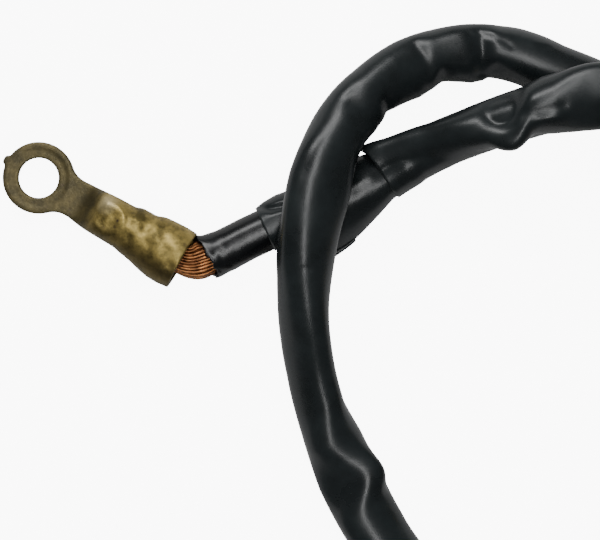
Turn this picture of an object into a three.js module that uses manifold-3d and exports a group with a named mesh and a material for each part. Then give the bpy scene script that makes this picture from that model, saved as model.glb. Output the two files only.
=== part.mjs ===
import * as THREE from "three";
import { mergeVertices } from "three/addons/utils/BufferGeometryUtils.js";
import Module from "manifold-3d";

// A starter motor cable: one stranded conductor in black insulation, a loose
// outer sleeve with a short joint sleeve at each end, and a ring terminal on
// each end. It lies on the floor in one and a bit loose turns. Millimetres, +Z up.

// Cable sizes
const conductorRadius = 3.15;
const fitGap = 0.3;
const insulationWall = 1.0;
const jointSleeveWall = 0.45;
const outerSleeveGap = 0.3;
const outerSleeveWall = 0.5;

const insulationBore = conductorRadius + fitGap;
const insulationRadius = insulationBore + insulationWall;
const jointSleeveBore = insulationRadius + fitGap;
const jointSleeveRadius = jointSleeveBore + jointSleeveWall;
const outerSleeveBore = jointSleeveRadius + outerSleeveGap;
const outerSleeveRadius = outerSleeveBore + outerSleeveWall;

// Ring terminal sizes
const boltHoleRadius = 4.2;
const palmRadius = 7.55;
const sheetThickness = 1.4;
const neckWidth = 8.3;
const neckFillet = 5;
const nubWidth = 2.2;
const nubReach = 0.8;
const barrelBore = conductorRadius + fitGap;
const barrelWall = 1.25;
const stepRise = 0.65;
const bellRise = 1.6;
const shoulderStart = 10.5;
const shoulderRun = 6.5;
const stepStart = 21.6;
const stepRun = 1.5;
const bellStart = 26.4;
const bellRun = 3;
const barrelMouth = 35;
const flatness = 8;
const shoulderSteps = 6;
const roundSides = 24;
const joinOverlap = 1;

const barrelRadius = barrelBore + barrelWall;
const bellRadius = barrelRadius + bellRise;
const palmHeight = bellRadius - barrelRadius;
const shoulderEnd = shoulderStart + shoulderRun;

// Cable route, from inside the near terminal to inside the far one
const route = [
  [-37, 9.5, 6.3],
  [-27.5, 4, 6.2],
  [-23, 1.8, 5.8],
  [-19, 2.5, 5.4],
  [-10, 7, 5.3],
  [-1, 11, 5.3],
  [6.5, 13.5, 5.4],
  [13, 16.5, 5.9],
  [20, 21, 7.3],
  [27, 25, 10],
  [36, 28.5, 14.6],
  [46, 31.5, 17.7],
  [56, 34, 18.6],
  [67, 34.5, 18.7],
  [79, 33.5, 18.3],
  [91, 30.5, 16.2],
  [102, 24, 12.5],
  [110, 14, 8.9],
  [115, 1, 6.7],
  [115.5, -14, 6],
  [111.5, -31, 6],
  [103, -47, 6],
  [90, -60, 6],
  [71.5, -70, 6],
  [51, -74, 6],
  [32, -70, 6],
  [18.5, -58, 6],
  [8, -38, 6.2],
  [2.5, -22, 8.7],
  [0.5, -6, 13.8],
  [3, 13.5, 17.1],
  [11.5, 33.5, 11.8],
  [25.5, 43, 7.2],
  [40, 45, 6],
  [55.5, 40, 6],
  [69.5, 33.5, 6],
  [85, 24.5, 5.6],
  [94.5, 9, 5.3],
  [96, -2, 5.8],
  [93.5, -16, 6.3],
];
const routeSteps = 84;
const cableSides = 12;

// Where each sleeve starts and ends, in route steps
const insulationEnds = [3, 82];
const nearJointSleeveEnds = [5, 10];
const farJointSleeveEnds = [75, 80];
const outerSleeveEnds = [9, 76];

// Where the terminals lie: centre of the bolt hole, and the barrel's direction
const nearTerminal = { x: -54.83, y: 19.33, turn: -29.4 };
const farTerminal = { x: 87, y: -42, turn: 76 };

const wasm = await Module();
wasm.setup();

// Solids to and from manifold
function toSolid(geometry) {
  const bare = geometry.clone();
  bare.deleteAttribute("normal");
  bare.deleteAttribute("uv");
  const merged = mergeVertices(bare, 1e-4);
  return new wasm.Manifold(new wasm.Mesh({
    numProp: 3,
    vertProperties: new Float32Array(merged.attributes.position.array),
    triVerts: new Uint32Array(merged.index.array),
  }));
}

function toGeometry(solid) {
  const mesh = solid.getMesh();
  const geometry = new THREE.BufferGeometry();
  geometry.setAttribute("position", new THREE.BufferAttribute(mesh.vertProperties, 3));
  geometry.setIndex(new THREE.BufferAttribute(mesh.triVerts, 1));
  const flat = geometry.toNonIndexed();
  flat.computeVertexNormals();
  return flat;
}

// A stretch of the route, with its stations kept in step with the whole
class Stretch extends THREE.Curve {
  constructor(whole, first, last) {
    super();
    this.whole = whole;
    this.first = first / routeSteps;
    this.last = last / routeSteps;
  }

  getPoint(t, target = new THREE.Vector3()) {
    return this.whole.getPointAt(THREE.MathUtils.lerp(this.first, this.last, t), target);
  }

  getPointAt(u, target) {
    return this.getPoint(u, target);
  }

  getTangentAt(u, target = new THREE.Vector3()) {
    return this.whole.getTangentAt(THREE.MathUtils.lerp(this.first, this.last, u), target);
  }
}

const centreline = new THREE.CatmullRomCurve3(route.map((point) => new THREE.Vector3(...point)));
centreline.arcLengthDivisions = 2000;

// A rod, or a tube where a bore is given, along a stretch of the route
function alongRoute(radius, bore, [first, last]) {
  const section = new THREE.Shape().absarc(0, 0, radius, 0, Math.PI * 2);
  if (bore > 0) {
    section.holes.push(new THREE.Path().absarc(0, 0, bore, 0, Math.PI * 2));
  }
  return new THREE.ExtrudeGeometry(section, {
    steps: last - first,
    curveSegments: cableSides / 2,
    extrudePath: new Stretch(centreline, first, last),
  });
}

// The flat palm with its neck and the small nub left at its far end
function palmGeometry() {
  const half = neckWidth / 2;
  const filletY = half + neckFillet;
  const filletX = Math.sqrt((palmRadius + neckFillet) ** 2 - filletY ** 2);
  const filletAngle = Math.atan2(filletY, filletX);
  const nubAngle = Math.asin(nubWidth / 2 / palmRadius);
  const outline = new THREE.Shape();
  outline.moveTo(shoulderStart + joinOverlap, -half);
  outline.lineTo(shoulderStart + joinOverlap, half);
  outline.absarc(filletX, filletY, neckFillet, -Math.PI / 2, filletAngle - Math.PI, true);
  outline.absarc(0, 0, palmRadius, filletAngle, Math.PI - nubAngle);
  outline.lineTo(-palmRadius - nubReach, nubWidth / 2);
  outline.lineTo(-palmRadius - nubReach, -nubWidth / 2);
  outline.absarc(0, 0, palmRadius, Math.PI + nubAngle, Math.PI * 2 - filletAngle);
  outline.absarc(filletX, -filletY, neckFillet, Math.PI - filletAngle, Math.PI / 2, true);
  outline.holes.push(new THREE.Path().absarc(0, 0, boltHoleRadius, 0, Math.PI * 2));
  return new THREE.ExtrudeGeometry(outline, {
    depth: sheetThickness,
    bevelEnabled: false,
    curveSegments: roundSides / 2,
  });
}

// One section across the barrel, from a flat bar (high power) to a circle (power 2)
function barrelSection(along, halfWidth, height, power) {
  const ring = [];
  for (let i = 0; i < roundSides; i++) {
    const angle = (i / roundSides) * Math.PI * 2;
    const across = Math.sign(Math.cos(angle)) * Math.abs(Math.cos(angle)) ** (2 / power);
    const up = Math.sign(Math.sin(angle)) * Math.abs(Math.sin(angle)) ** (2 / power);
    ring.push(along, halfWidth * across, (height / 2) * up);
  }
  return ring;
}

// The outside of the barrel: it swells from the flat neck, steps out, then bells
function barrelSections() {
  const sections = [];
  for (let i = 0; i <= shoulderSteps; i++) {
    const share = i / shoulderSteps;
    const swell = THREE.MathUtils.smoothstep(share, 0, 1);
    const height = THREE.MathUtils.lerp(sheetThickness, 2 * barrelRadius, swell);
    const ring = barrelSection(
      shoulderStart + share * shoulderRun,
      THREE.MathUtils.lerp(neckWidth / 2, barrelRadius, Math.sqrt(share)),
      height,
      THREE.MathUtils.lerp(flatness, 2, Math.sqrt(share)),
    );
    sections.push({ ring, middle: palmHeight + height / 2 });
  }
  const profile = [
    [stepStart, barrelRadius],
    [stepStart + stepRun, barrelRadius + stepRise],
    [bellStart, barrelRadius + stepRise],
    [bellStart + bellRun, bellRadius],
    [barrelMouth, bellRadius],
  ];
  for (const [along, radius] of profile) {
    sections.push({ ring: barrelSection(along, radius, 2 * radius, 2), middle: bellRadius });
  }
  return sections;
}

// A closed skin over a row of sections
function loft(sections) {
  const positions = [];
  for (const { ring, middle } of sections) {
    for (let i = 0; i < ring.length; i += 3) {
      positions.push(ring[i], ring[i + 1], ring[i + 2] + middle);
    }
  }
  const faces = [];
  const lastStart = (sections.length - 1) * roundSides;
  for (let i = 0; i < roundSides; i++) {
    const next = (i + 1) % roundSides;
    for (let start = 0; start < lastStart; start += roundSides) {
      const [a, b] = [start + i, start + next];
      faces.push(a, b, b + roundSides, a, b + roundSides, a + roundSides);
    }
    if (i > 0 && next > 0) {
      faces.push(0, next, i, lastStart, lastStart + i, lastStart + next);
    }
  }
  const geometry = new THREE.BufferGeometry();
  geometry.setAttribute("position", new THREE.Float32BufferAttribute(positions, 3));
  geometry.setIndex(faces);
  return geometry;
}

// The hole that the strands go into, turned about the barrel's axis
function boreGeometry() {
  const profile = [
    [0, shoulderEnd],
    [barrelBore, shoulderEnd],
    [barrelBore, stepStart + barrelWall / 2],
    [barrelBore + stepRise, stepStart + stepRun + barrelWall / 2],
    [barrelBore + stepRise, bellStart + barrelWall / 2],
    [barrelBore + bellRise, bellStart + bellRun + barrelWall / 2],
    [barrelBore + bellRise, barrelMouth + joinOverlap],
    [0, barrelMouth + joinOverlap],
  ];
  const points = profile.map(([radius, along]) => new THREE.Vector2(radius, along));
  const lathe = new THREE.LatheGeometry(points, roundSides);
  lathe.rotateZ(-Math.PI / 2);
  return lathe.translate(0, 0, bellRadius);
}

function ringTerminal({ x, y, turn }) {
  const palm = toSolid(palmGeometry().translate(0, 0, palmHeight));
  const barrel = toSolid(loft(barrelSections()));
  const bore = toSolid(boreGeometry());
  const geometry = toGeometry(palm.add(barrel).subtract(bore));
  geometry.rotateZ(THREE.MathUtils.degToRad(turn));
  return geometry.translate(x, y, 0);
}

// Finishes
const brass = { color: 0x9a8552, roughness: 0.45, metalness: 0.9 };
const copper = { color: 0xb06a3f, roughness: 0.5, metalness: 0.9 };
const jacketBlack = { color: 0x17191a, roughness: 0.45, metalness: 0 };
const sleeveBlack = { color: 0x202426, roughness: 0.25, metalness: 0 };

const cable = new THREE.Group();
cable.name = "starter_motor_cable";

function addPiece(name, geometry, finish) {
  const piece = new THREE.Mesh(geometry, new THREE.MeshStandardMaterial(finish));
  piece.name = name;
  cable.add(piece);
}

addPiece("ring_terminal_near", ringTerminal(nearTerminal), brass);
addPiece("ring_terminal_far", ringTerminal(farTerminal), brass);
addPiece("conductor", alongRoute(conductorRadius, 0, [0, routeSteps]), copper);
addPiece("insulation", alongRoute(insulationRadius, insulationBore, insulationEnds), jacketBlack);
addPiece(
  "joint_sleeve_near",
  alongRoute(jointSleeveRadius, jointSleeveBore, nearJointSleeveEnds),
  sleeveBlack,
);
addPiece(
  "joint_sleeve_far",
  alongRoute(jointSleeveRadius, jointSleeveBore, farJointSleeveEnds),
  sleeveBlack,
);
addPiece("outer_sleeve", alongRoute(outerSleeveRadius, outerSleeveBore, outerSleeveEnds), sleeveBlack);

// The origin is the middle of the base
const box = new THREE.Box3().setFromObject(cable);
const middle = box.getCenter(new THREE.Vector3());
for (const piece of cable.children) {
  piece.geometry.translate(-middle.x, -middle.y, -box.min.z);
}

export default cable;
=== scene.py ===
"""Dresses the starter motor cable: terminals, strands, insulation, sleeves, floor and light."""

import math

import bmesh
import bpy
import numpy as np
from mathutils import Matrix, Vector


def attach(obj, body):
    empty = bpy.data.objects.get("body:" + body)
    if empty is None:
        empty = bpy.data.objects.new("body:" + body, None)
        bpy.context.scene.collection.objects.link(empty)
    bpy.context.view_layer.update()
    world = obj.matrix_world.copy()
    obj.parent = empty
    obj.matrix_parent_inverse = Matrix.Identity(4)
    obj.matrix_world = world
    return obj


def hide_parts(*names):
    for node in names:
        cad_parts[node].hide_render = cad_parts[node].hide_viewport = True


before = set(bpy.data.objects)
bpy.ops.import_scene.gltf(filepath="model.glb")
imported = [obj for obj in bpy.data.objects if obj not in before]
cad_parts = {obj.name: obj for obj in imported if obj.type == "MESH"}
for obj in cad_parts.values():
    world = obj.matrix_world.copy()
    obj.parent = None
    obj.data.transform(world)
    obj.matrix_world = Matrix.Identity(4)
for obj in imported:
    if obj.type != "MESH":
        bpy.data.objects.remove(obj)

bl_info = {
    "name": "Starter motor cable",
    "version": (1, 0, 0),
    "blender": (4, 5, 0),
    "location": "View3D > Sidebar > Cable",
    "description": "Builds the visible surfaces of a starter motor cable with two ring terminals",
    "category": "Object",
}

MM = 0.001

# Cable route in millimetres, as the part has it, from inside the near terminal to the far one
ROUTE = [
    (-37, 9.5, 6.3),
    (-27.5, 4, 6.2),
    (-23, 1.8, 5.8),
    (-19, 2.5, 5.4),
    (-10, 7, 5.3),
    (-1, 11, 5.3),
    (6.5, 13.5, 5.4),
    (13, 16.5, 5.9),
    (20, 21, 7.3),
    (27, 25, 10),
    (36, 28.5, 14.6),
    (46, 31.5, 17.7),
    (56, 34, 18.6),
    (67, 34.5, 18.7),
    (79, 33.5, 18.3),
    (91, 30.5, 16.2),
    (102, 24, 12.5),
    (110, 14, 8.9),
    (115, 1, 6.7),
    (115.5, -14, 6),
    (111.5, -31, 6),
    (103, -47, 6),
    (90, -60, 6),
    (71.5, -70, 6),
    (51, -74, 6),
    (32, -70, 6),
    (18.5, -58, 6),
    (8, -38, 6.2),
    (2.5, -22, 8.7),
    (0.5, -6, 13.8),
    (3, 13.5, 17.1),
    (11.5, 33.5, 11.8),
    (25.5, 43, 7.2),
    (40, 45, 6),
    (55.5, 40, 6),
    (69.5, 33.5, 6),
    (85, 24.5, 5.6),
    (94.5, 9, 5.3),
    (96, -2, 5.8),
    (93.5, -16, 6.3),
]
# Middle of the coil and its lowest point, in the same millimetres: the row frame's origin
COIL_MIDDLE = (29.52, -14.52, -0.05)

# Where the terminals lie: bolt hole centre and the barrel's direction
NEAR_TERMINAL = (-54.83, 19.33, -29.4)
FAR_TERMINAL = (87, -42, 76)

# Sizes in millimetres
CONDUCTOR_RADIUS = 3.15
INSULATION_RADIUS = 4.45
INSULATION_WALL = 0.95
JOINT_SLEEVE_RADIUS = 5.2
JOINT_SLEEVE_WALL = 0.4
OUTER_SLEEVE_RADIUS = 6.0
OUTER_SLEEVE_WALL = 0.45
STRAND_RADIUS = 0.34
# How far the jacket drops inside the loose outer sleeve
JACKET_DROP = 0.95
# Least room between the jacket and the outside of the sleeve over it
SLEEVE_ROOM = 0.5
# How fast the strands twist, in radians a millimetre
STRAND_LAY = 0.015

# Lengths along the route where each piece starts and ends
ROUTE_LENGTH = 555.3
INSULATION_SPAN = (20.4, 542.0)
NEAR_JOINT_SPAN = (33.3, 66.0)
FAR_JOINT_SPAN = (496.0, 529.0)
OUTER_SLEEVE_SPAN = (60.2, 502.4)

# Camera: straight above the middle of the view. At the scale height, a millimetre spans
# that many pixels.
VIEW_HEIGHT = 400
VIEW_PIXELS = 600
PIXELS_A_MILLIMETRE = 4.76
SCALE_HEIGHT = 2
VIEW_WIDTH = VIEW_PIXELS / PIXELS_A_MILLIMETRE * VIEW_HEIGHT / (VIEW_HEIGHT - SCALE_HEIGHT)
SENSOR_WIDTH = 36


class Route:
    """The centreline, measured by length along it, with a plan side and an up at each place."""

    def __init__(self, points, per_span=60):
        points = np.array(points, float) - np.array(COIL_MIDDLE)
        ends = [2 * points[0] - points[1], *points, 2 * points[-1] - points[-2]]
        line = []
        t = np.linspace(0, 1, per_span, endpoint=False)[:, None]
        for p0, p1, p2, p3 in zip(ends, ends[1:], ends[2:], ends[3:]):
            pairs = ((p0, p1), (p1, p2), (p2, p3))
            d0, d1, d2 = (math.sqrt(np.linalg.norm(b - a)) for a, b in pairs)
            out = d1 * ((p1 - p0) / d0 - (p2 - p0) / (d0 + d1) + (p2 - p1) / d1)
            back = d1 * ((p2 - p1) / d1 - (p3 - p1) / (d1 + d2) + (p3 - p2) / d2)
            line.append(
                (2 * t**3 - 3 * t**2 + 1) * p1
                + (t**3 - 2 * t**2 + t) * out
                + (3 * t**2 - 2 * t**3) * p2
                + (t**3 - t**2) * back
            )
        self.line = np.concatenate([*line, points[-1:]])
        steps = np.linalg.norm(np.diff(self.line, axis=0), axis=1)
        self.along = np.concatenate([[0], np.cumsum(steps)])

    def at(self, s):
        """Points on the centreline at the lengths s, in millimetres."""
        s = np.asarray(s, float)
        return np.stack([np.interp(s, self.along, self.line[:, k]) for k in range(3)], -1)

    def frames(self, s):
        """Point, forward, side (left in plan) and up at the lengths s."""
        s = np.asarray(s, float)
        forward = self.at(s + 0.6) - self.at(s - 0.6)
        forward /= np.linalg.norm(forward, axis=-1, keepdims=True)
        side = np.stack([-forward[..., 1], forward[..., 0], np.zeros(s.shape)], -1)
        side /= np.linalg.norm(side, axis=-1, keepdims=True)
        return self.at(s), forward, side, np.cross(forward, side)


ROUTE_LINE = Route(ROUTE)


def smoothstep(low, high, x):
    """0 below low, 1 above high, smooth between."""
    t = np.clip((x - low) / (high - low), 0, 1)
    return t * t * (3 - 2 * t)


def bump(x, middle, width):
    """A bell of height 1."""
    return np.exp(-(((x - middle) / width) ** 2))


def stroke(s, u, points):
    """Distance from (s, u) to a drawn line of points."""
    best = np.full(s.shape, 1e9)
    for (s0, u0), (s1, u1) in zip(points, points[1:]):
        ds, du = s1 - s0, u1 - u0
        share = np.clip(((s - s0) * ds + (u - u0) * du) / (ds * ds + du * du), 0, 1)
        best = np.minimum(best, np.hypot(s - s0 - share * ds, u - u0 - share * du))
    return best


def crease(s, side, points, width):
    """A groove of depth 1 along a drawn line of places on a sleeve."""
    return np.exp(-((stroke(s, side, points) / width) ** 2))


def mesh_object(name, vertices, faces, smooth=True):
    """A new mesh object from points in millimetres."""
    mesh = bpy.data.meshes.new(name)
    mesh.from_pydata([tuple(v) for v in np.asarray(vertices) * MM], [], faces)
    mesh.validate()
    if smooth:
        mesh.shade_smooth()
    piece = bpy.data.objects.new(name, mesh)
    bpy.context.collection.objects.link(piece)
    return piece


def grid_faces(rows, columns):
    """Quads of a grid whose columns close on themselves, facing outwards on a tube."""
    faces = []
    for row in range(rows - 1):
        for column in range(columns):
            after = (column + 1) % columns
            a, b = row * columns + column, row * columns + after
            faces.append((a, b, b + columns, a + columns))
    return faces


def swept(name, places, section, around, trim=None):
    """A tube along the route.

    section(s, angle) gives side and up offsets in millimetres. angle 0 is the left side,
    and a quarter turn is the top. places is a list of lengths, and trim(s, angle) may move
    each point along the route.
    """
    angle = np.arange(around) / around * 2 * math.pi
    s, angle = np.meshgrid(places, angle, indexing="ij")
    side_offset, up_offset = section(s, angle)
    along = s if trim is None else trim(s, angle)
    point, forward, side, up = ROUTE_LINE.frames(along)
    vertices = point + side * side_offset[..., None] + up * up_offset[..., None]
    return mesh_object(name, vertices.reshape(-1, 3), grid_faces(len(places), around))


# Outer sleeve: length along the route, and how far its left and right edges stand out
SLEEVE_EDGES = [
    (60, 7.4, 4.6),
    (61.5, 6.9, 4.8),
    (64, 5.9, 4.9),
    (66, 5.4, 5.0),
    (70, 4.95, 5.1),
    (74, 4.7, 5.1),
    (78, 4.7, 4.8),
    (82, 5.0, 4.5),
    (86, 5.2, 4.7),
    (90, 5.4, 5.5),
    (94, 5.6, 4.4),
    (98, 6.4, 5.4),
    (102, 6.5, 6.0),
    (106, 6.7, 6.2),
    (114, 6.5, 6.1),
    (126, 6.0, 6.0),
    (325, 6.0, 6.0),
    (335, 6.3, 6.5),
    (343, 6.6, 6.5),
    (347, 6.7, 5.8),
    (351, 6.4, 6.3),
    (355, 6.0, 6.1),
    (359, 5.65, 5.5),
    (363, 5.4, 4.85),
    (371, 5.05, 4.9),
    (379, 5.0, 5.1),
    (387, 5.15, 5.55),
    (391, 5.35, 5.85),
    (395, 5.8, 6.1),
    (403, 6.0, 6.4),
    (407, 6.3, 6.6),
    (411, 6.6, 6.5),
    (415, 6.5, 5.9),
    (419, 6.35, 5.5),
    (423, 6.2, 5.6),
    (427, 5.9, 6.2),
    (431, 5.7, 6.0),
    (433.5, 5.6, 5.2),
    (436, 5.7, 5.7),
    (443, 6.15, 6.4),
    (447, 6.1, 5.8),
    (450, 6.0, 4.9),
    (453, 5.95, 5.6),
    (457, 5.9, 6.2),
    (460, 5.9, 5.7),
    (462.5, 5.9, 4.2),
    (466, 6.2, 4.5),
    (471, 6.2, 5.2),
    (475, 5.9, 5.7),
    (483, 6.0, 6.0),
    (503, 6.0, 6.0),
]
# Outer sleeve: length along the route, and how far left of the centreline its crest is
SLEEVE_CREST = [
    (60, 4.2),
    (63, 4.0),
    (66, 3.4),
    (71, 2.4),
    (74.5, 1.5),
    (81, 0.5),
    (85, -0.4),
    (86.8, -2.3),
    (88.5, -3.3),
    (90.5, -3.3),
    (92.5, -2.2),
    (94.5, 0.6),
    (99.5, 0.5),
    (103, 2.0),
    (106, 2.8),
    (110, 3.0),
    (122, 0.6),
    (140, 0.0),
    (200, 0.8),
    (260, -0.8),
    (325, 0.4),
    (338.8, 0.9),
    (341, 0.0),
    (343, -2.0),
    (345, -3.6),
    (347, -4.0),
    (349.2, -3.0),
    (352.2, -1.2),
    (355.5, 0.4),
    (358.5, -0.1),
    (363.8, -1.4),
    (378.5, -1.7),
    (383.2, -1.3),
    (388.5, -0.7),
    (394.2, 0.2),
    (403, 1.2),
    (408.2, 1.7),
    (415, 1.7),
    (422.2, 0.4),
    (435, 0.7),
    (449, 1.0),
    (460, 1.2),
    (470, 0.4),
    (483, 0.0),
    (503, 0.0),
]
# Outer sleeve's creases: depth, width, and the line of (length, side) places that each follows
SLEEVE_CREASES = [
    (0.4, 1.1, [(93.8, -0.2), (97, -0.6), (100.5, -0.7)]),
    (1.0, 1.9, [(458.3, 4.5), (458.8, 0), (459.3, -4.5)]),
    (0.16, 0.6, [(457, 3.9), (462.5, 2.2), (465.2, 1.1), (469.8, 2.7), (472, 3.6)]),
    (0.45, 1.6, [(445.5, 3.2), (445.8, -3.0)]),
    (0.14, 0.6, [(393.0, 2.2), (394.2, 0.4), (394.4, -1.4)]),
]
# Shallow dents on the inner side of the bend: length along the route, depth, width
SLEEVE_DENTS = [(433.5, 0.8, 1.6), (450, 0.8, 1.6), (462.5, 1.1, 1.8)]
# The round dimple on the run to the right: length along the route and side
DIMPLE = (89.3, 0.7)


def eased(s, table, column, ease=17):
    """A table's column at the places s, smoothed over a window of ease tenths of a millimetre."""
    rows = np.array(table, float)
    fine = np.arange(rows[0, 0] - 4, rows[-1, 0] + 4, 0.1)
    values = np.interp(fine, rows[:, 0], rows[:, column])
    kernel = np.hanning(ease)
    padded = np.pad(values, ease // 2, mode="edge")
    values = np.convolve(padded, kernel / kernel.sum(), mode="valid")
    return np.interp(s, fine, values)


def settled(s):
    """How far the jacket and its conductor have dropped inside the loose outer sleeve."""
    return JACKET_DROP * smoothstep(68, 84, s) * (1 - smoothstep(478, 494, s))


def over_cable(s, side, up):
    """Keeps the sleeve's wall outside what runs through it."""
    least = INSULATION_RADIUS + SLEEVE_ROOM + 0.35 * (1 - smoothstep(66, 69, s))
    drop = settled(s)
    reach = np.hypot(side, up + drop)
    pushed = (reach + least + np.sqrt((reach - least) ** 2 + 0.12**2)) / 2
    share = pushed / reach
    return side * share, (up + drop) * share - drop


def sleeve_section(s, angle):
    """The outer sleeve's squashed section, leaning towards its crest, with folds and dents."""
    left = eased(s, SLEEVE_EDGES, 1)
    right = eased(s, SLEEVE_EDGES, 2)
    crest = eased(s, SLEEVE_CREST, 1, ease=45)
    middle, half = (left - right) / 2, (left + right) / 2
    full = OUTER_SLEEVE_RADIUS - 0.05
    height = full - 0.45 * np.clip(half - OUTER_SLEEVE_RADIUS, 0, 2)
    rise = np.sin(angle)
    side = middle + half * np.cos(angle)
    side = side + (crest - middle) * smoothstep(0, 1, rise)
    up = height * rise - (full - height)
    # the dimple is longer towards the near end
    spread = np.where(s < DIMPLE[0], 3.2, 2.3)
    away = ((s - DIMPLE[0]) / spread) ** 2 + ((side - DIMPLE[1]) / 2.7) ** 2
    folds = -2.3 * np.exp(-1.2 * np.sqrt(away + 0.02))
    # the swelling beside the dimple
    folds += 0.25 * np.exp(-(((s - 97) / 3.2) ** 2 + ((side + 2.6) / 1.5) ** 2))
    for depth, width, points in SLEEVE_CREASES:
        folds -= depth * crease(s, side, points, width)
    for place, depth, width in SLEEVE_DENTS:
        folds -= depth * bump(s, place, width) * smoothstep(-1.5, -5.0, side)
    # the soft hollow before the bend's first dent
    folds -= 0.5 * bump(s, 427.5, 2.6) * bump(side, 0.5, 2.6)
    return over_cable(s, side, up + folds * smoothstep(0.05, 0.5, rise))


def cut_edge(s, angle):
    """Bows the sleeve's cut end, so that its middle stands back."""
    near = OUTER_SLEEVE_SPAN[0]
    share = 1 - smoothstep(near, near + 5, s)
    return s + share * (0.9 * np.sin(angle) ** 2 * (np.sin(angle) > 0) - 0.5 * np.cos(angle))


def stations(span, step):
    """Evenly spaced places along a stretch of the route, about a step apart."""
    return np.linspace(*span, int(round((span[1] - span[0]) / step)) + 1)


def close_walls(piece, thickness):
    """Gives a tube a real wall, turned inwards."""
    wall = piece.modifiers.new("wall", "SOLIDIFY")
    wall.thickness = thickness * MM
    wall.offset = -1
    return piece


def build_outer_sleeve():
    """The long loose tube over the cable."""
    low, high = OUTER_SLEEVE_SPAN
    # close together where there are folds, further apart where the tube is plain
    folded, plain = 0.55, 1.3
    places = np.concatenate(
        [
            stations((low, 115), folded),
            stations((116, 334), plain),
            stations((335, 485), folded),
            stations((486, high), plain),
        ]
    )
    return swept("outer_sleeve_tube", places, sleeve_section, 84, cut_edge)


# Near joint sleeve: length along the route, and how far its left and right edges stand out
JOINT_EDGES = [
    (33, 4.9, 4.7),
    (35, 5.5, 5.0),
    (38, 5.9, 6.4),
    (42, 5.7, 9.2),
    (45, 5.4, 10.2),
    (50, 5.3, 8.4),
    (54, 6.1, 6.7),
    (57, 6.9, 5.6),
    (59.5, 6.3, 4.9),
    (61, 5.6, 4.85),
    (64, 4.85, 4.85),
    (66, 4.85, 4.85),
]


def joint_section(s, angle):
    """The near joint sleeve: snug on the cable, with a flattened wing on its right."""
    left = eased(s, JOINT_EDGES, 1)
    right = eased(s, JOINT_EDGES, 2)
    wing = np.clip(right - JOINT_SLEEVE_RADIUS, 0, None)
    rise, run = np.sin(angle), np.cos(angle)
    side = np.where(run > 0, left * run, right * run)
    outer = smoothstep(0, 1, -run)
    height = 5.1 - 0.25 * smoothstep(54, 59.5, s)
    up = height * np.sign(rise) * np.abs(rise) ** (1 + 0.12 * wing * outer)
    up -= 0.6 * wing * outer * smoothstep(-0.9, 0.3, rise)
    folds = -0.7 * crease(s, side, [(33.8, 5.2), (36, 3.4), (41, 2.4)], 0.7)
    ridge = crease(s, side, [(48, 0.6), (53, 1.9), (59, 1.4)], 0.8)
    folds += 0.3 * ridge * (1 - smoothstep(55, 59, s))
    return side, np.maximum(up + folds * smoothstep(0.05, 0.5, rise), -JOINT_SLEEVE_RADIUS)


def far_joint_section(s, angle):
    """The far joint sleeve, with soft lengthways folds."""
    radius = 5.15 + 0.12 * np.sin(3 * angle + 0.3 * s) * np.sin(0.35 * s)
    return radius * np.cos(angle), radius * np.sin(angle)


def build_joint_sleeves():
    """The thin sleeves between the insulation and the outer sleeve."""
    near_places, far_places = stations(NEAR_JOINT_SPAN, 0.4), stations(FAR_JOINT_SPAN, 0.5)
    near = swept("joint_sleeve_near_tube", near_places, joint_section, 96)
    far = swept("joint_sleeve_far_tube", far_places, far_joint_section, 72)
    return near, far


def insulation_section(s, angle):
    """The jacket, pinched and dented close to its cut ends."""
    near = np.exp(-np.clip(s - INSULATION_SPAN[0], 0, None) / 2.2)
    far = np.exp(-np.clip(INSULATION_SPAN[1] - s, 0, None) / 2.2)
    pinch = 0.14 * np.sin(5 * angle + 1.1 * np.sin(2 * s))
    radius = INSULATION_RADIUS + (near + far) * pinch
    side = radius * np.cos(angle)
    side = side + 0.9 * near * smoothstep(0, 1, np.cos(angle))
    return side, radius * np.sin(angle) - settled(s)


def ragged(s, angle):
    """Makes both cut ends of the jacket ragged."""
    low, high = INSULATION_SPAN
    near, far = 1 - smoothstep(low, low + 3, s), smoothstep(high - 3, high, s)
    tear = 0.35 * np.sin(3 * angle + 0.6) + 0.2 * np.sin(8 * angle) + 0.12 * np.sin(17 * angle)
    return s + near * (tear - 1.9 * smoothstep(0.2, 1, np.cos(angle))) + far * tear


def build_insulation():
    """The black jacket from one terminal to the other."""
    low, high = INSULATION_SPAN
    places = np.concatenate(
        [
            stations((low, 36), 0.3),
            stations((38, high - 16), 2.0),
            stations((high - 14, high), 0.3),
        ]
    )
    return swept("insulation_jacket", places, insulation_section, 64, ragged)


def rod_section(s, angle):
    """The round core under the strands."""
    radius = CONDUCTOR_RADIUS - 2 * STRAND_RADIUS
    return radius * np.cos(angle), radius * np.sin(angle) - settled(s)


# Stretches of the route where the strands are bare
BARE_SPANS = ((9.0, 24.0), (ROUTE_LENGTH - 17.0, ROUTE_LENGTH - 5.0))
# Strands in the outer layer and in the one under it
STRAND_COUNTS = (27, 21)
STRAND_PLACES = 26
STRAND_SIDES = 6


def strand_line(low, high, start, reach, rng):
    """Middle of one strand, which bulges where the near end's are loose, with side and up."""
    s = np.linspace(low, high, STRAND_PLACES)
    twist = start - STRAND_LAY * (s - low) + 0.02 * rng.standard_normal()
    right = 1.3 * np.clip(-np.cos(twist) - 0.5, 0, 1)
    left = 1.7 * np.clip(np.cos(twist) - 0.3, 0, 1)
    slack = bump(s, 18.2, 2.6) * (right + left) * (low < 20)
    loose = reach + 0.1 * np.sin(0.6 * s + rng.uniform(0, 6.3)) + slack
    point, forward, side, up = ROUTE_LINE.frames(s)
    across, above = (loose * np.cos(twist))[:, None], (loose * np.sin(twist))[:, None]
    return point + side * across + up * above, side, up


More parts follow.
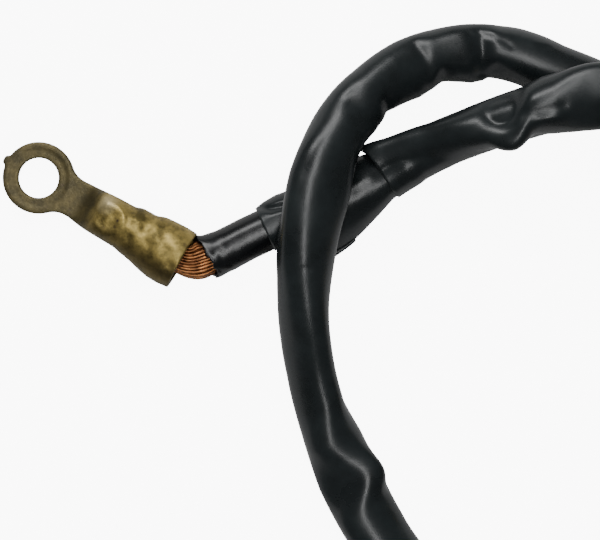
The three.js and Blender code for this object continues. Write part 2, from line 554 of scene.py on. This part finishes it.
def build_conductor():
    """The core of the bundle and the strands that show between a barrel and the jacket."""
    core = swept("conductor_core", stations((0.5, ROUTE_LENGTH - 0.5), 2.0), rod_section, 24)
    rng = np.random.default_rng(7)
    vertices, faces = [], []
    ring = np.arange(STRAND_SIDES) / STRAND_SIDES * 2 * math.pi
    tube = grid_faces(STRAND_PLACES, STRAND_SIDES)
    for low, high in BARE_SPANS:
        for layer, count in enumerate(STRAND_COUNTS):
            reach = CONDUCTOR_RADIUS - STRAND_RADIUS - layer * 1.7 * STRAND_RADIUS
            for k in range(count):
                start = 2 * math.pi * k / count
                middle, side, up = strand_line(low, high, start, reach, rng)
                base = len(vertices)
                for centre, left, above in zip(middle, side, up):
                    for a in ring:
                        rim = left * math.cos(a) + above * math.sin(a)
                        vertices.append(centre + STRAND_RADIUS * rim)
                faces += [tuple(base + corner for corner in face) for face in tube]
    return core, mesh_object("conductor_strands", vertices, faces)


# Ring terminal in its own frame: x from the bolt hole along the barrel, y left, z up
BOLT_HOLE_RADIUS = 4.2
PALM_RADIUS = 7.55
PALM_UNDERSIDE = 1.6
SHEET_THICKNESS = 1.4
NECK_HALF_WIDTH = 4.15
NECK_FILLET = 5.0
NUB_HALF_WIDTH = 1.1
NUB_REACH = 0.8
BARREL_AXIS_HEIGHT = 6.3
# Size of the cells that the terminal's skin is rebuilt from
SKIN_CELL = 0.22
# Outside of the barrel: place, left half, right half, bottom, top, squareness
BARREL_SECTIONS = [
    (9.6, 4.2, 4.2, 1.62, 2.95, 8),
    (10.8, 4.25, 4.4, 1.6, 3.15, 7),
    (12.0, 4.3, 4.55, 1.6, 4.2, 4.6),
    (13.2, 4.4, 4.65, 1.6, 6.2, 3.2),
    (14.4, 4.5, 4.7, 1.6, 8.4, 2.6),
    (15.8, 4.6, 4.7, 1.6, 10.1, 2.3),
    (17.4, 4.7, 4.75, 1.6, 10.85, 2.05),
    (21.2, 4.75, 4.85, 1.6, 11.0, 2),
    (22.6, 5.3, 5.2, 1.2, 11.55, 2),
    (24.2, 5.35, 5.45, 1.0, 11.65, 2),
    (25.8, 5.3, 5.8, 0.9, 11.65, 2),
    (27.6, 6.0, 6.3, 0.45, 12.1, 2),
    (30.0, 6.2, 6.8, 0.1, 12.5, 2.05),
    (32.5, 6.3, 6.9, 0.05, 12.55, 2.1),
    (35.0, 6.15, 6.6, 0.05, 12.5, 2.1),
]
# Where a painted highlight lies on the barrel's start: a bright patch standing in for light
# falling there
CROWN = (15.4, 2.9, 9.6)
# Bore of the barrel: place, radius
BORE_PROFILE = [
    (17.5, 3.45),
    (22.2, 3.45),
    (23.7, 4.1),
    (27.0, 4.1),
    (30.0, 5.05),
    (36.5, 5.05),
]
# Small dents on top of the barrel: place, side, depth, width
BARREL_DENTS = [
    (23.4, -1.6, 0.3, 1.0),
    (25.2, 1.8, 0.35, 0.9),
    (27.4, -0.6, 0.28, 1.1),
    (29.6, 2.3, 0.3, 1.0),
    (31.6, 0.4, 0.25, 1.2),
    (22.3, 1.4, 0.25, 0.8),
    (33.4, -2.2, 0.25, 1.0),
]


def palm_outline():
    """The palm seen from above: round, with a small nub, running into the neck."""
    fillet_y = NECK_HALF_WIDTH + NECK_FILLET
    fillet_x = math.sqrt((PALM_RADIUS + NECK_FILLET) ** 2 - fillet_y**2)
    meeting = math.atan2(fillet_y, fillet_x)
    nub = math.asin(NUB_HALF_WIDTH / PALM_RADIUS)
    upper = [(13.0, NECK_HALF_WIDTH)]
    for angle in np.linspace(-math.pi / 2, meeting - math.pi, 24):
        x = fillet_x + NECK_FILLET * math.cos(angle)
        upper.append((x, fillet_y + NECK_FILLET * math.sin(angle)))
    for angle in np.linspace(meeting, math.pi - nub, 90)[1:]:
        upper.append((PALM_RADIUS * math.cos(angle), PALM_RADIUS * math.sin(angle)))
    upper.append((-PALM_RADIUS - NUB_REACH * 0.7, NUB_HALF_WIDTH * 0.8))
    upper.append((-PALM_RADIUS - NUB_REACH, NUB_HALF_WIDTH * 0.3))
    return upper + [(x, -y) for x, y in reversed(upper)]


def slab(name, outline, low, high):
    """A solid plate of the outline's shape."""
    count = len(outline)
    vertices = [(x, y, low) for x, y in outline] + [(x, y, high) for x, y in outline]
    faces = [tuple(range(count - 1, -1, -1)), tuple(range(count, 2 * count))]
    for i in range(count):
        after = (i + 1) % count
        faces.append((i, after, after + count, i + count))
    return mesh_object(name, vertices, faces, smooth=False)


def closed_loft(name, rings):
    """A closed solid over a row of rings with the same number of points."""
    around = len(rings[0])
    vertices = [point for ring in rings for point in ring]
    first_cap = tuple(reversed(range(around)))
    last_cap = tuple(range((len(rings) - 1) * around, len(rings) * around))
    faces = [first_cap, *grid_faces(len(rings), around), last_cap]
    piece = mesh_object(name, vertices, faces, smooth=False)
    edit = bmesh.new()
    edit.from_mesh(piece.data)
    bmesh.ops.recalc_face_normals(edit, faces=edit.faces)
    edit.to_mesh(piece.data)
    edit.free()
    return piece


def barrel_rings(around=72):
    """Rings of the barrel's outside, eased between the named sections."""
    table = np.array(BARREL_SECTIONS, float)
    places = np.linspace(table[0, 0], table[-1, 0], 90)
    values = [eased(places, BARREL_SECTIONS, column) for column in range(1, 6)]
    rings = []
    for x, left, right, bottom, top, power in zip(places, *values):
        ring = []
        for k in range(around):
            angle = 2 * math.pi * k / around
            across, up = math.cos(angle), math.sin(angle)
            y = math.copysign(abs(across) ** (2 / power), across) * (left if across > 0 else right)
            z = math.copysign(abs(up) ** (2 / power), up) * (top - bottom) / 2
            ring.append((x, y, z + (top + bottom) / 2))
        rings.append(ring)
    return rings


def bore_rings(around=72):
    """Rings of the hole that the strands go into."""
    places = np.linspace(BORE_PROFILE[0][0], BORE_PROFILE[-1][0], 50)
    radii = eased(places, BORE_PROFILE, 1)
    turn = np.arange(around) / around * 2 * math.pi
    return [
        [(x, r * math.cos(a), BARREL_AXIS_HEIGHT + r * math.sin(a)) for a in turn]
        for x, r in zip(places, radii)
    ]


def applied(piece):
    """Replaces a piece's mesh by what its modifiers make of it."""
    graph = bpy.context.evaluated_depsgraph_get()
    mesh = bpy.data.meshes.new_from_object(piece.evaluated_get(graph))
    piece.modifiers.clear()
    piece.data = mesh
    return piece


def combined(piece, other, operation):
    """Joins or cuts a solid with another, which is then removed."""
    cut = piece.modifiers.new("shape", "BOOLEAN")
    cut.operation = operation
    cut.solver = "EXACT"
    cut.object = other
    applied(piece)
    bpy.data.objects.remove(other)
    return piece


def press_marks(points):
    """How far washer, crimping punch and handling moved each point up or down."""
    x, y, z = points.T
    # the washer's shallow seat on the palm, and the rim round it
    reach = np.hypot(x, y)
    rise = -0.14 * smoothstep(6.6, 5.6, reach) * (x < 11)
    rise += 0.06 * bump(reach, 6.7, 0.5) * (x < 9)
    rise = rise * smoothstep(2.2, 2.9, z)
    # the punch's mark on the barrel, and the metal that it pushed up
    upper = smoothstep(6.5, 8.5, z)
    away = np.hypot((x - 17.2) / 1.05, y + 0.1)
    rise -= upper * 0.9 * np.exp(-((away / 2.4) ** 4))
    rise += upper * 0.2 * bump(away, 3.6, 0.6) * smoothstep(16, 20, x)
    for dx, dy, depth, width in BARREL_DENTS:
        rise -= upper * depth * np.exp(-(((x - dx) / width) ** 2 + ((y - dy) / width) ** 2))
    return rise


def ring_terminal():
    """Points and faces of the whole ring terminal, in its own frame."""
    body = slab("palm", palm_outline(), PALM_UNDERSIDE, PALM_UNDERSIDE + SHEET_THICKNESS)
    combined(body, closed_loft("barrel", barrel_rings()), "UNION")
    combined(body, closed_loft("bore", bore_rings()), "DIFFERENCE")
    turn = np.arange(96) / 96 * 2 * math.pi
    rim = [(BOLT_HOLE_RADIUS * math.cos(a), BOLT_HOLE_RADIUS * math.sin(a)) for a in turn]
    combined(body, slab("bolt_hole", rim, 0, 5), "DIFFERENCE")
    skin = body.modifiers.new("skin", "REMESH")
    skin.mode = "VOXEL"
    skin.voxel_size = SKIN_CELL * MM
    skin.use_smooth_shade = True
    soften = body.modifiers.new("soften", "SMOOTH")
    soften.factor = 0.5
    soften.iterations = 6
    applied(body)
    mesh = body.data
    points = np.empty(len(mesh.vertices) * 3)
    mesh.vertices.foreach_get("co", points)
    points = points.reshape(-1, 3) / MM
    bpy.data.objects.remove(body)
    points[:, 2] += press_marks(points)
    faces = [tuple(polygon.vertices) for polygon in mesh.polygons]
    return points, faces


def placed_terminal(name, shape, place):
    """A terminal laid where the part has it."""
    points, faces = shape
    x, y, degrees = place
    turn = math.radians(degrees)
    out = points.copy()
    out[:, 0] = x + points[:, 0] * math.cos(turn) - points[:, 1] * math.sin(turn)
    out[:, 1] = y + points[:, 0] * math.sin(turn) + points[:, 1] * math.cos(turn)
    return mesh_object(name, out - np.array(COIL_MIDDLE), faces)


# Colours of the finishes
PALM_DARK = (0.075, 0.062, 0.027, 1)
PALM_LIGHT = (0.14, 0.112, 0.045, 1)
BARREL_DARK = (0.13, 0.1, 0.03, 1)
BARREL_LIGHT = (0.46, 0.345, 0.105, 1)
# painted shade for the barrel's right side
BARREL_PAINTED_SHADE = (0.085, 0.066, 0.026, 1)
BRASS_SPOTS = (0.07, 0.05, 0.03, 1)
# painted highlight for the barrel's start
BRASS_PAINTED_HIGHLIGHT = (0.66, 0.55, 0.3, 1)
COPPER_DARK = (0.1, 0.036, 0.013, 1)
COPPER_LIGHT = (0.42, 0.175, 0.062, 1)
FLOOR_DARK = (0.84, 0.84, 0.84, 1)
FLOOR_LIGHT = (0.88, 0.88, 0.88, 1)
# How much lighter the cloudy places of the black plastic are
CLOUD_LIGHTER = 1.7
# Depth that a full step of the fine relief stands for, in metres
RELIEF_DEPTH = 0.00012


def new_group(name, inputs, outputs):
    """An empty shader node group with named sockets."""
    group = bpy.data.node_groups.new(name, "ShaderNodeTree")
    for socket, kind, value in inputs:
        added = group.interface.new_socket(name=socket, in_out="INPUT", socket_type=kind)
        added.default_value = value
    for socket, kind in outputs:
        group.interface.new_socket(name=socket, in_out="OUTPUT", socket_type=kind)
    return group, group.nodes.new("NodeGroupInput"), group.nodes.new("NodeGroupOutput")


def node(tree, kind, **settings):
    """A new node with its settings; a key with a leading capital sets an input socket."""
    added = tree.nodes.new(kind)
    for key, value in settings.items():
        if key[0].isupper():
            added.inputs[key.replace("_", " ")].default_value = value
        else:
            setattr(added, key, value)
    return added


def mapped(tree, source, low, high, out_low=0.0, out_high=1.0):
    """A value stretched from one range to another, kept inside it."""
    ends = {"From_Min": low, "From_Max": high, "To_Min": out_low, "To_Max": out_high}
    change = node(tree, "ShaderNodeMapRange", **ends)
    tree.links.new(source, change.inputs["Value"])
    return change.outputs["Result"]


def mottle_group():
    """Blotches of two sizes, from 0 to 1."""
    group, given, put = new_group(
        "mottle",
        [("Size", "NodeSocketFloat", 500.0), ("Contrast", "NodeSocketFloat", 0.2)],
        [("Mask", "NodeSocketFloat"), ("Fine", "NodeSocketFloat")],
    )
    where = node(group, "ShaderNodeTexCoord")
    coarse = node(group, "ShaderNodeTexNoise", Detail=4.0, Roughness=0.6)
    group.links.new(where.outputs["Object"], coarse.inputs["Vector"])
    group.links.new(given.outputs["Size"], coarse.inputs["Scale"])
    low = node(group, "ShaderNodeMath", operation="SUBTRACT")
    low.inputs[0].default_value = 0.5
    group.links.new(given.outputs["Contrast"], low.inputs[1])
    high = node(group, "ShaderNodeMath", operation="ADD")
    high.inputs[0].default_value = 0.5
    group.links.new(given.outputs["Contrast"], high.inputs[1])
    spread = node(group, "ShaderNodeMapRange")
    group.links.new(coarse.outputs["Fac"], spread.inputs["Value"])
    group.links.new(low.outputs[0], spread.inputs["From Min"])
    group.links.new(high.outputs[0], spread.inputs["From Max"])
    group.links.new(spread.outputs["Result"], put.inputs["Mask"])
    finer = node(group, "ShaderNodeMath", operation="MULTIPLY")
    finer.inputs[1].default_value = 5.0
    group.links.new(given.outputs["Size"], finer.inputs[0])
    fine = node(group, "ShaderNodeTexNoise", Detail=3.0, Roughness=0.55)
    group.links.new(where.outputs["Object"], fine.inputs["Vector"])
    group.links.new(finer.outputs[0], fine.inputs["Scale"])
    group.links.new(fine.outputs["Fac"], put.inputs["Fine"])
    return group


def speck_group():
    """Small scattered spots: dust, pits or specks."""
    group, given, put = new_group(
        "specks",
        [("Size", "NodeSocketFloat", 900.0), ("Spread", "NodeSocketFloat", 0.16)],
        [("Mask", "NodeSocketFloat")],
    )
    where = node(group, "ShaderNodeTexCoord")
    cells = node(group, "ShaderNodeTexVoronoi", Randomness=1.0)
    group.links.new(where.outputs["Object"], cells.inputs["Vector"])
    group.links.new(given.outputs["Size"], cells.inputs["Scale"])
    spots = node(group, "ShaderNodeMapRange", To_Min=1.0, To_Max=0.0)
    spots.inputs["From Min"].default_value = 0.05
    group.links.new(given.outputs["Spread"], spots.inputs["From Max"])
    group.links.new(cells.outputs["Distance"], spots.inputs["Value"])
    patch = node(group, "ShaderNodeTexNoise", Scale=220.0, Detail=2.0)
    group.links.new(where.outputs["Object"], patch.inputs["Vector"])
    some = mapped(group, patch.outputs["Fac"], 0.5, 0.62)
    both = node(group, "ShaderNodeMath", operation="MULTIPLY")
    group.links.new(spots.outputs["Result"], both.inputs[0])
    group.links.new(some, both.inputs[1])
    group.links.new(both.outputs[0], put.inputs["Mask"])
    return group


def new_material(name):
    """A material with a bare Principled shader."""
    material = bpy.data.materials.new(name)
    if material.name != name:
        raise RuntimeError(f"There is already a material called {name}")
    material.use_nodes = True
    return material, material.node_tree, material.node_tree.nodes["Principled BSDF"]


def placed_group(tree, name, **values):
    """A shared node group placed in a material, with its own values."""
    placed = node(tree, "ShaderNodeGroup")
    placed.node_tree = bpy.data.node_groups[name]
    for key, value in values.items():
        placed.inputs[key].default_value = value
    return placed


def mixed(tree, mask, first, second):
    """A colour between two colours, by a mask; each may be a value or a socket."""
    mix = node(tree, "ShaderNodeMix", data_type="RGBA")
    tree.links.new(mask, mix.inputs["Factor"])
    for socket, colour in ((mix.inputs[6], first), (mix.inputs[7], second)):
        if isinstance(colour, tuple):
            socket.default_value = colour
        else:
            tree.links.new(colour, socket)
    return mix.outputs[2]


def bumped(tree, shader, height, strength):
    """Gives a shader small relief from a height."""
    relief = node(tree, "ShaderNodeBump", Strength=strength, Distance=RELIEF_DEPTH)
    tree.links.new(height, relief.inputs["Height"])
    tree.links.new(relief.outputs["Normal"], shader.inputs["Normal"])


def black_material(name, colour, dusty, gloss, smooth, rough):
    """Glossy black plastic, faintly cloudy, with a little dust.

    smooth and rough are the roughness in its darker and its lighter places.
    """
    material, tree, shader = new_material(name)
    cloud = placed_group(tree, "mottle", Size=130.0, Contrast=0.18)
    specks = placed_group(tree, "specks", Size=1500.0, Spread=0.13)
    lighter = tuple(c * CLOUD_LIGHTER for c in colour[:3]) + (1,)
    tint = mixed(tree, cloud.outputs["Mask"], colour, lighter)
    base = mixed(tree, specks.outputs["Mask"], tint, dusty)
    tree.links.new(base, shader.inputs["Base Color"])
    dull = mapped(tree, cloud.outputs["Mask"], 0, 1, smooth, rough)
    tree.links.new(dull, shader.inputs["Roughness"])
    shader.inputs["Specular IOR Level"].default_value = gloss
    bumped(tree, shader, cloud.outputs["Fine"], 0.12)
    return material


def brass_material(name, place):
    """Tarnished brass: dull olive palm, mottled gold barrel with dark spots, painted shade on the
    barrel's right side and a painted highlight where the barrel starts.
    """
    material, tree, shader = new_material(name)
    x, y, degrees = place
    turn = math.radians(degrees)
    # how far along the barrel a point is, from the bolt hole
    where = node(tree, "ShaderNodeTexCoord")
    along = node(tree, "ShaderNodeVectorMath", operation="DOT_PRODUCT")
    along.inputs[1].default_value = (math.cos(turn), math.sin(turn), 0)
    tree.links.new(where.outputs["Object"], along.inputs[0])
    hole = ((x - COIL_MIDDLE[0]) * math.cos(turn) + (y - COIL_MIDDLE[1]) * math.sin(turn)) * MM
    barrel = mapped(tree, along.outputs["Value"], hole + 13 * MM, hole + 15.5 * MM)
    patches = placed_group(tree, "mottle", Size=330.0, Contrast=0.14)
    dark = placed_group(tree, "specks", Size=520.0, Spread=0.3)
    palm = mixed(tree, patches.outputs["Mask"], PALM_DARK, PALM_LIGHT)
    gold = mixed(tree, patches.outputs["Mask"], BARREL_DARK, BARREL_LIGHT)
    metal = mixed(tree, barrel, palm, gold)
    spotted = mixed(tree, dark.outputs["Mask"], metal, BRASS_SPOTS)
    # painted shade: the barrel's right side is darkened towards brown, standing in for the shade
    # that falls on that side
    across = node(tree, "ShaderNodeVectorMath", operation="DOT_PRODUCT")
    across.inputs[1].default_value = (-math.sin(turn), math.cos(turn), 0)
    tree.links.new(where.outputs["Object"], across.inputs[0])
    axis = ((y - COIL_MIDDLE[1]) * math.cos(turn) - (x - COIL_MIDDLE[0]) * math.sin(turn)) * MM
    shaded = mapped(tree, across.outputs["Value"], axis - 1 * MM, axis - 4.2 * MM)
    painted_shade_share = node(tree, "ShaderNodeMath", operation="MULTIPLY")
    tree.links.new(shaded, painted_shade_share.inputs[0])
    tree.links.new(mapped(tree, barrel, 0, 1, 0, 0.8), painted_shade_share.inputs[1])
    with_painted_shade = mixed(tree, painted_shade_share.outputs[0], spotted, BARREL_PAINTED_SHADE)
    # painted highlight: the barrel's start is made bright, standing in for light falling there
    crown = node(tree, "ShaderNodeVectorMath", operation="DISTANCE")
    crown_x = x + CROWN[0] * math.cos(turn) - CROWN[1] * math.sin(turn)
    crown_y = y + CROWN[0] * math.sin(turn) + CROWN[1] * math.cos(turn)
    crown_place = Vector((crown_x, crown_y, CROWN[2])) - Vector(COIL_MIDDLE)
    crown.inputs[1].default_value = crown_place * MM
    tree.links.new(where.outputs["Object"], crown.inputs[0])
    painted_highlight_share = mapped(tree, crown.outputs["Value"], 3.2 * MM, 0.8 * MM, 0, 0.85)
    base = mixed(tree, painted_highlight_share, with_painted_shade, BRASS_PAINTED_HIGHLIGHT)
    tree.links.new(base, shader.inputs["Base Color"])
    tree.links.new(mapped(tree, barrel, 0, 1, 0.55, 0.85), shader.inputs["Metallic"])
    rough = mapped(tree, patches.outputs["Fine"], 0.3, 0.7, 0.42, 0.58)
    tree.links.new(rough, shader.inputs["Roughness"])
    bumped(tree, shader, patches.outputs["Fine"], 0.5)
    return material


def copper_material():
    """Bare copper strands, browner here and there."""
    material, tree, shader = new_material("strand_finish")
    patches = placed_group(tree, "mottle", Size=420.0, Contrast=0.12)
    base = mixed(tree, patches.outputs["Mask"], COPPER_DARK, COPPER_LIGHT)
    tree.links.new(base, shader.inputs["Base Color"])
    shader.inputs["Metallic"].default_value = 0.85
    rough = mapped(tree, patches.outputs["Fine"], 0.3, 0.7, 0.3, 0.5)
    tree.links.new(rough, shader.inputs["Roughness"])
    return material


def floor_material(glow):
    """Plain pale floor with the faintest grain, lit up like a light table where it is seen."""
    material, tree, shader = new_material("floor_finish")
    grain = placed_group(tree, "mottle", Size=60.0, Contrast=0.3)
    base = mixed(tree, grain.outputs["Mask"], FLOOR_DARK, FLOOR_LIGHT)
    tree.links.new(base, shader.inputs["Base Color"])
    shader.inputs["Roughness"].default_value = 0.9
    shader.inputs["Specular IOR Level"].default_value = 0.0
    shader.inputs["Emission Strength"].default_value = glow
    rays = node(tree, "ShaderNodeLightPath")
    tree.links.new(rays.outputs["Is Camera Ray"], shader.inputs["Emission Color"])
    return material


class CableSettings(bpy.types.PropertyGroup):
    """Colours of the cable that a user would change."""

    sleeve_colour: bpy.props.FloatVectorProperty(
        name="Sleeve colour",
        description="Colour of the outer sleeve and the joint sleeves",
        subtype="COLOR",
        size=4,
        min=0,
        max=1,
        default=(0.0105, 0.0133, 0.014, 1),
    )
    jacket_colour: bpy.props.FloatVectorProperty(
        name="Jacket colour",
        description="Colour of the insulation on the conductor",
        subtype="COLOR",
        size=4,
        min=0,
        max=1,
        default=(0.003, 0.0035, 0.004, 1),
    )
    dust_colour: bpy.props.FloatVectorProperty(
        name="Dust colour",
        description="Colour of the dust specks on the sleeves",
        subtype="COLOR",
        size=4,
        min=0,
        max=1,
        default=(0.03, 0.03, 0.028, 1),
    )


class StudioSettings(bpy.types.PropertyGroup):
    """Floor and light."""

    key_power: bpy.props.FloatProperty(
        name="Key light",
        description="Power of the strip light above the floor",
        default=6.5,
        min=0,
        unit="POWER",
    )
    key_width: bpy.props.FloatProperty(
        name="Key light width",
        description="Width of the strip light above the floor",
        default=0.12,
        min=0.01,
        unit="LENGTH",
    )
    key_length: bpy.props.FloatProperty(
        name="Key light length",
        description="Length of the strip light above the floor",
        default=1.7,
        min=0.01,
        unit="LENGTH",
    )
    key_place: bpy.props.FloatVectorProperty(
        name="Key light place",
        description="Middle of the strip light above the floor",
        subtype="TRANSLATION",
        default=(-0.01, 0.2, 0.8),
    )
    window_power: bpy.props.FloatProperty(
        name="Window light",
        description="Power of the soft light from the back left",
        default=4.5,
        min=0,
        unit="POWER",
    )
    floor_glow: bpy.props.FloatProperty(
        name="Floor glow",
        description="How far the floor is lit up for the camera",
        default=9.0,
        min=0,
    )
    surround: bpy.props.FloatProperty(
        name="Surround",
        description="Brightness of the surroundings",
        default=0.09,
        min=0,
    )


def worn_on(piece, *nodes, slot, material):
    """Puts a piece on the cable's body, in place of its solids, with its finish."""
    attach(piece, "root")
    if nodes:
        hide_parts(*nodes)
    piece.data.materials.clear()
    piece.data.materials.append(material)
    return piece


class CABLE_OT_camera(bpy.types.Operator):
    """Place the camera straight above the cable's visible part"""

    bl_idname = "cable.camera"
    bl_label = "Camera"

    def execute(self, context):
        lens = bpy.data.cameras.new("camera")
        lens.sensor_width = SENSOR_WIDTH
        lens.lens = SENSOR_WIDTH * VIEW_HEIGHT / VIEW_WIDTH
        lens.clip_start = 0.01
        camera = bpy.data.objects.new("camera", lens)
        camera.location = Vector((-COIL_MIDDLE[0], -COIL_MIDDLE[1], VIEW_HEIGHT)) * MM
        context.collection.objects.link(camera)
        context.scene.camera = camera
        return {"FINISHED"}


class CABLE_OT_finishes(bpy.types.Operator):
    """Make the node groups and materials of the cable and the floor"""

    bl_idname = "cable.finishes"
    bl_label = "Finishes"

    def execute(self, context):
        cable = context.scene.cable
        mottle_group()
        speck_group()
        dust = tuple(cable.dust_colour)
        sleeve, jacket = tuple(cable.sleeve_colour), tuple(cable.jacket_colour)
        black_material("sleeve_finish", sleeve, dust, gloss=0.42, smooth=0.25, rough=0.34)
        black_material("jacket_finish", jacket, dust, gloss=0.5, smooth=0.22, rough=0.3)
        brass_material("near_lug_finish", NEAR_TERMINAL)
        brass_material("far_lug_finish", FAR_TERMINAL)
        copper_material()
        floor_material(context.scene.studio.floor_glow)
        return {"FINISHED"}


class CABLE_OT_jacket(bpy.types.Operator):
    """Build the insulation from one terminal to the other"""

    bl_idname = "cable.jacket"
    bl_label = "Insulation"

    def execute(self, context):
        jacket = close_walls(build_insulation(), INSULATION_WALL)
        black = bpy.data.materials["jacket_finish"]
        worn_on(jacket, "insulation", slot="insulation_black", material=black)
        return {"FINISHED"}


class CABLE_OT_conductor(bpy.types.Operator):
    """Build the conductor's core and its bare strands"""

    bl_idname = "cable.conductor"
    bl_label = "Conductor"

    def execute(self, context):
        copper = bpy.data.materials["strand_finish"]
        core, strands = build_conductor()
        worn_on(core, "conductor", slot="conductor_copper", material=copper)
        worn_on(strands, slot="conductor_copper", material=copper)
        return {"FINISHED"}


class CABLE_OT_sleeves(bpy.types.Operator):
    """Build the loose outer sleeve and the two joint sleeves"""

    bl_idname = "cable.sleeves"
    bl_label = "Sleeves"

    def execute(self, context):
        black = bpy.data.materials["sleeve_finish"]
        near, far = build_joint_sleeves()
        outer = build_outer_sleeve()
        for tube, solid, wall in (
            (near, "joint_sleeve_near", JOINT_SLEEVE_WALL),
            (far, "joint_sleeve_far", JOINT_SLEEVE_WALL),
            (outer, "outer_sleeve", OUTER_SLEEVE_WALL),
        ):
            worn_on(close_walls(tube, wall), solid, slot="sleeve_black", material=black)
        return {"FINISHED"}


class CABLE_OT_terminals(bpy.types.Operator):
    """Build the two ring terminals"""

    bl_idname = "cable.terminals"
    bl_label = "Ring terminals"

    def execute(self, context):
        shape = ring_terminal()
        for name, solid, place, finish in (
            ("ring_terminal_near_lug", "ring_terminal_near", NEAR_TERMINAL, "near_lug_finish"),
            ("ring_terminal_far_lug", "ring_terminal_far", FAR_TERMINAL, "far_lug_finish"),
        ):
            lug = placed_terminal(name, shape, place)
            brass = bpy.data.materials[finish]
            worn_on(lug, solid, slot="terminal_brass", material=brass)
        return {"FINISHED"}


class CABLE_OT_free_length(bpy.types.Operator):
    bl_idname = "cable.free_length"
    bl_label = "Free length"

    def execute(self, context):
        return {"FINISHED"}


# The soft light from the back left, in metres, the floor's half width in millimetres, and
# the colour of the surroundings
WINDOW_PLACE = (-0.38, 0.9, 0.75)
WINDOW_WIDTH = 0.5
WINDOW_LENGTH = 0.3
FLOOR_REACH = 1500
SURROUND_COLOUR = (0.96, 0.98, 1, 1)


def hang_light(name, place, width, length, power):
    """Hangs a soft rectangular light that faces the middle of the floor."""
    light = bpy.data.lights.new(name, "AREA")
    light.shape = "RECTANGLE"
    light.size = width
    light.size_y = length
    light.energy = power
    lamp = bpy.data.objects.new(name, light)
    lamp.location = place
    lamp.rotation_euler = (-lamp.location).to_track_quat("-Z", "Y").to_euler()
    bpy.context.collection.objects.link(lamp)


class CABLE_OT_stage(bpy.types.Operator):
    """Lay the floor and hang the light"""

    bl_idname = "cable.stage"
    bl_label = "Stage"

    def execute(self, context):
        studio = context.scene.studio
        signs = ((-1, -1), (1, -1), (1, 1), (-1, 1))
        corners = [(x * FLOOR_REACH, y * FLOOR_REACH, 0) for x, y in signs]
        floor = mesh_object("floor", corners, [(0, 1, 2, 3)], smooth=False)
        floor.data.materials.append(bpy.data.materials["floor_finish"])
        width, length = studio.key_width, studio.key_length
        hang_light("key", studio.key_place, width, length, studio.key_power)
        hang_light("window", WINDOW_PLACE, WINDOW_WIDTH, WINDOW_LENGTH, studio.window_power)
        world = bpy.data.worlds.new("surround")
        world.use_nodes = True
        surround = world.node_tree.nodes["Background"]
        surround.inputs["Color"].default_value = SURROUND_COLOUR
        surround.inputs["Strength"].default_value = studio.surround
        context.scene.world = world
        return {"FINISHED"}


class CABLE_PT_panel(bpy.types.Panel):
    """Lists the cable's pieces and their settings"""

    bl_idname = "CABLE_PT_panel"
    bl_label = "Starter motor cable"
    bl_space_type = "VIEW_3D"
    bl_region_type = "UI"
    bl_category = "Cable"

    def draw(self, context):
        for settings in (context.scene.cable, context.scene.studio):
            for name in settings.__annotations__:
                self.layout.prop(settings, name)
        for step in STEPS:
            self.layout.operator(step.bl_idname)


STEPS = [
    CABLE_OT_camera,
    CABLE_OT_finishes,
    CABLE_OT_jacket,
    CABLE_OT_conductor,
    CABLE_OT_sleeves,
    CABLE_OT_terminals,
    CABLE_OT_free_length,
    CABLE_OT_stage,
]
CLASSES = [CableSettings, StudioSettings, *STEPS, CABLE_PT_panel]


def register():
    for entry in CLASSES:
        bpy.utils.register_class(entry)
    bpy.types.Scene.cable = bpy.props.PointerProperty(type=CableSettings)
    bpy.types.Scene.studio = bpy.props.PointerProperty(type=StudioSettings)


def unregister():
    del bpy.types.Scene.studio
    del bpy.types.Scene.cable
    for entry in reversed(CLASSES):
        bpy.utils.unregister_class(entry)


def main():
    """Builds everything."""
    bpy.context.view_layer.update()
    register()
    for step in STEPS:
        family, action = step.bl_idname.split(".")
        getattr(getattr(bpy.ops, family), action)()


if __name__ == "__main__":
    main()
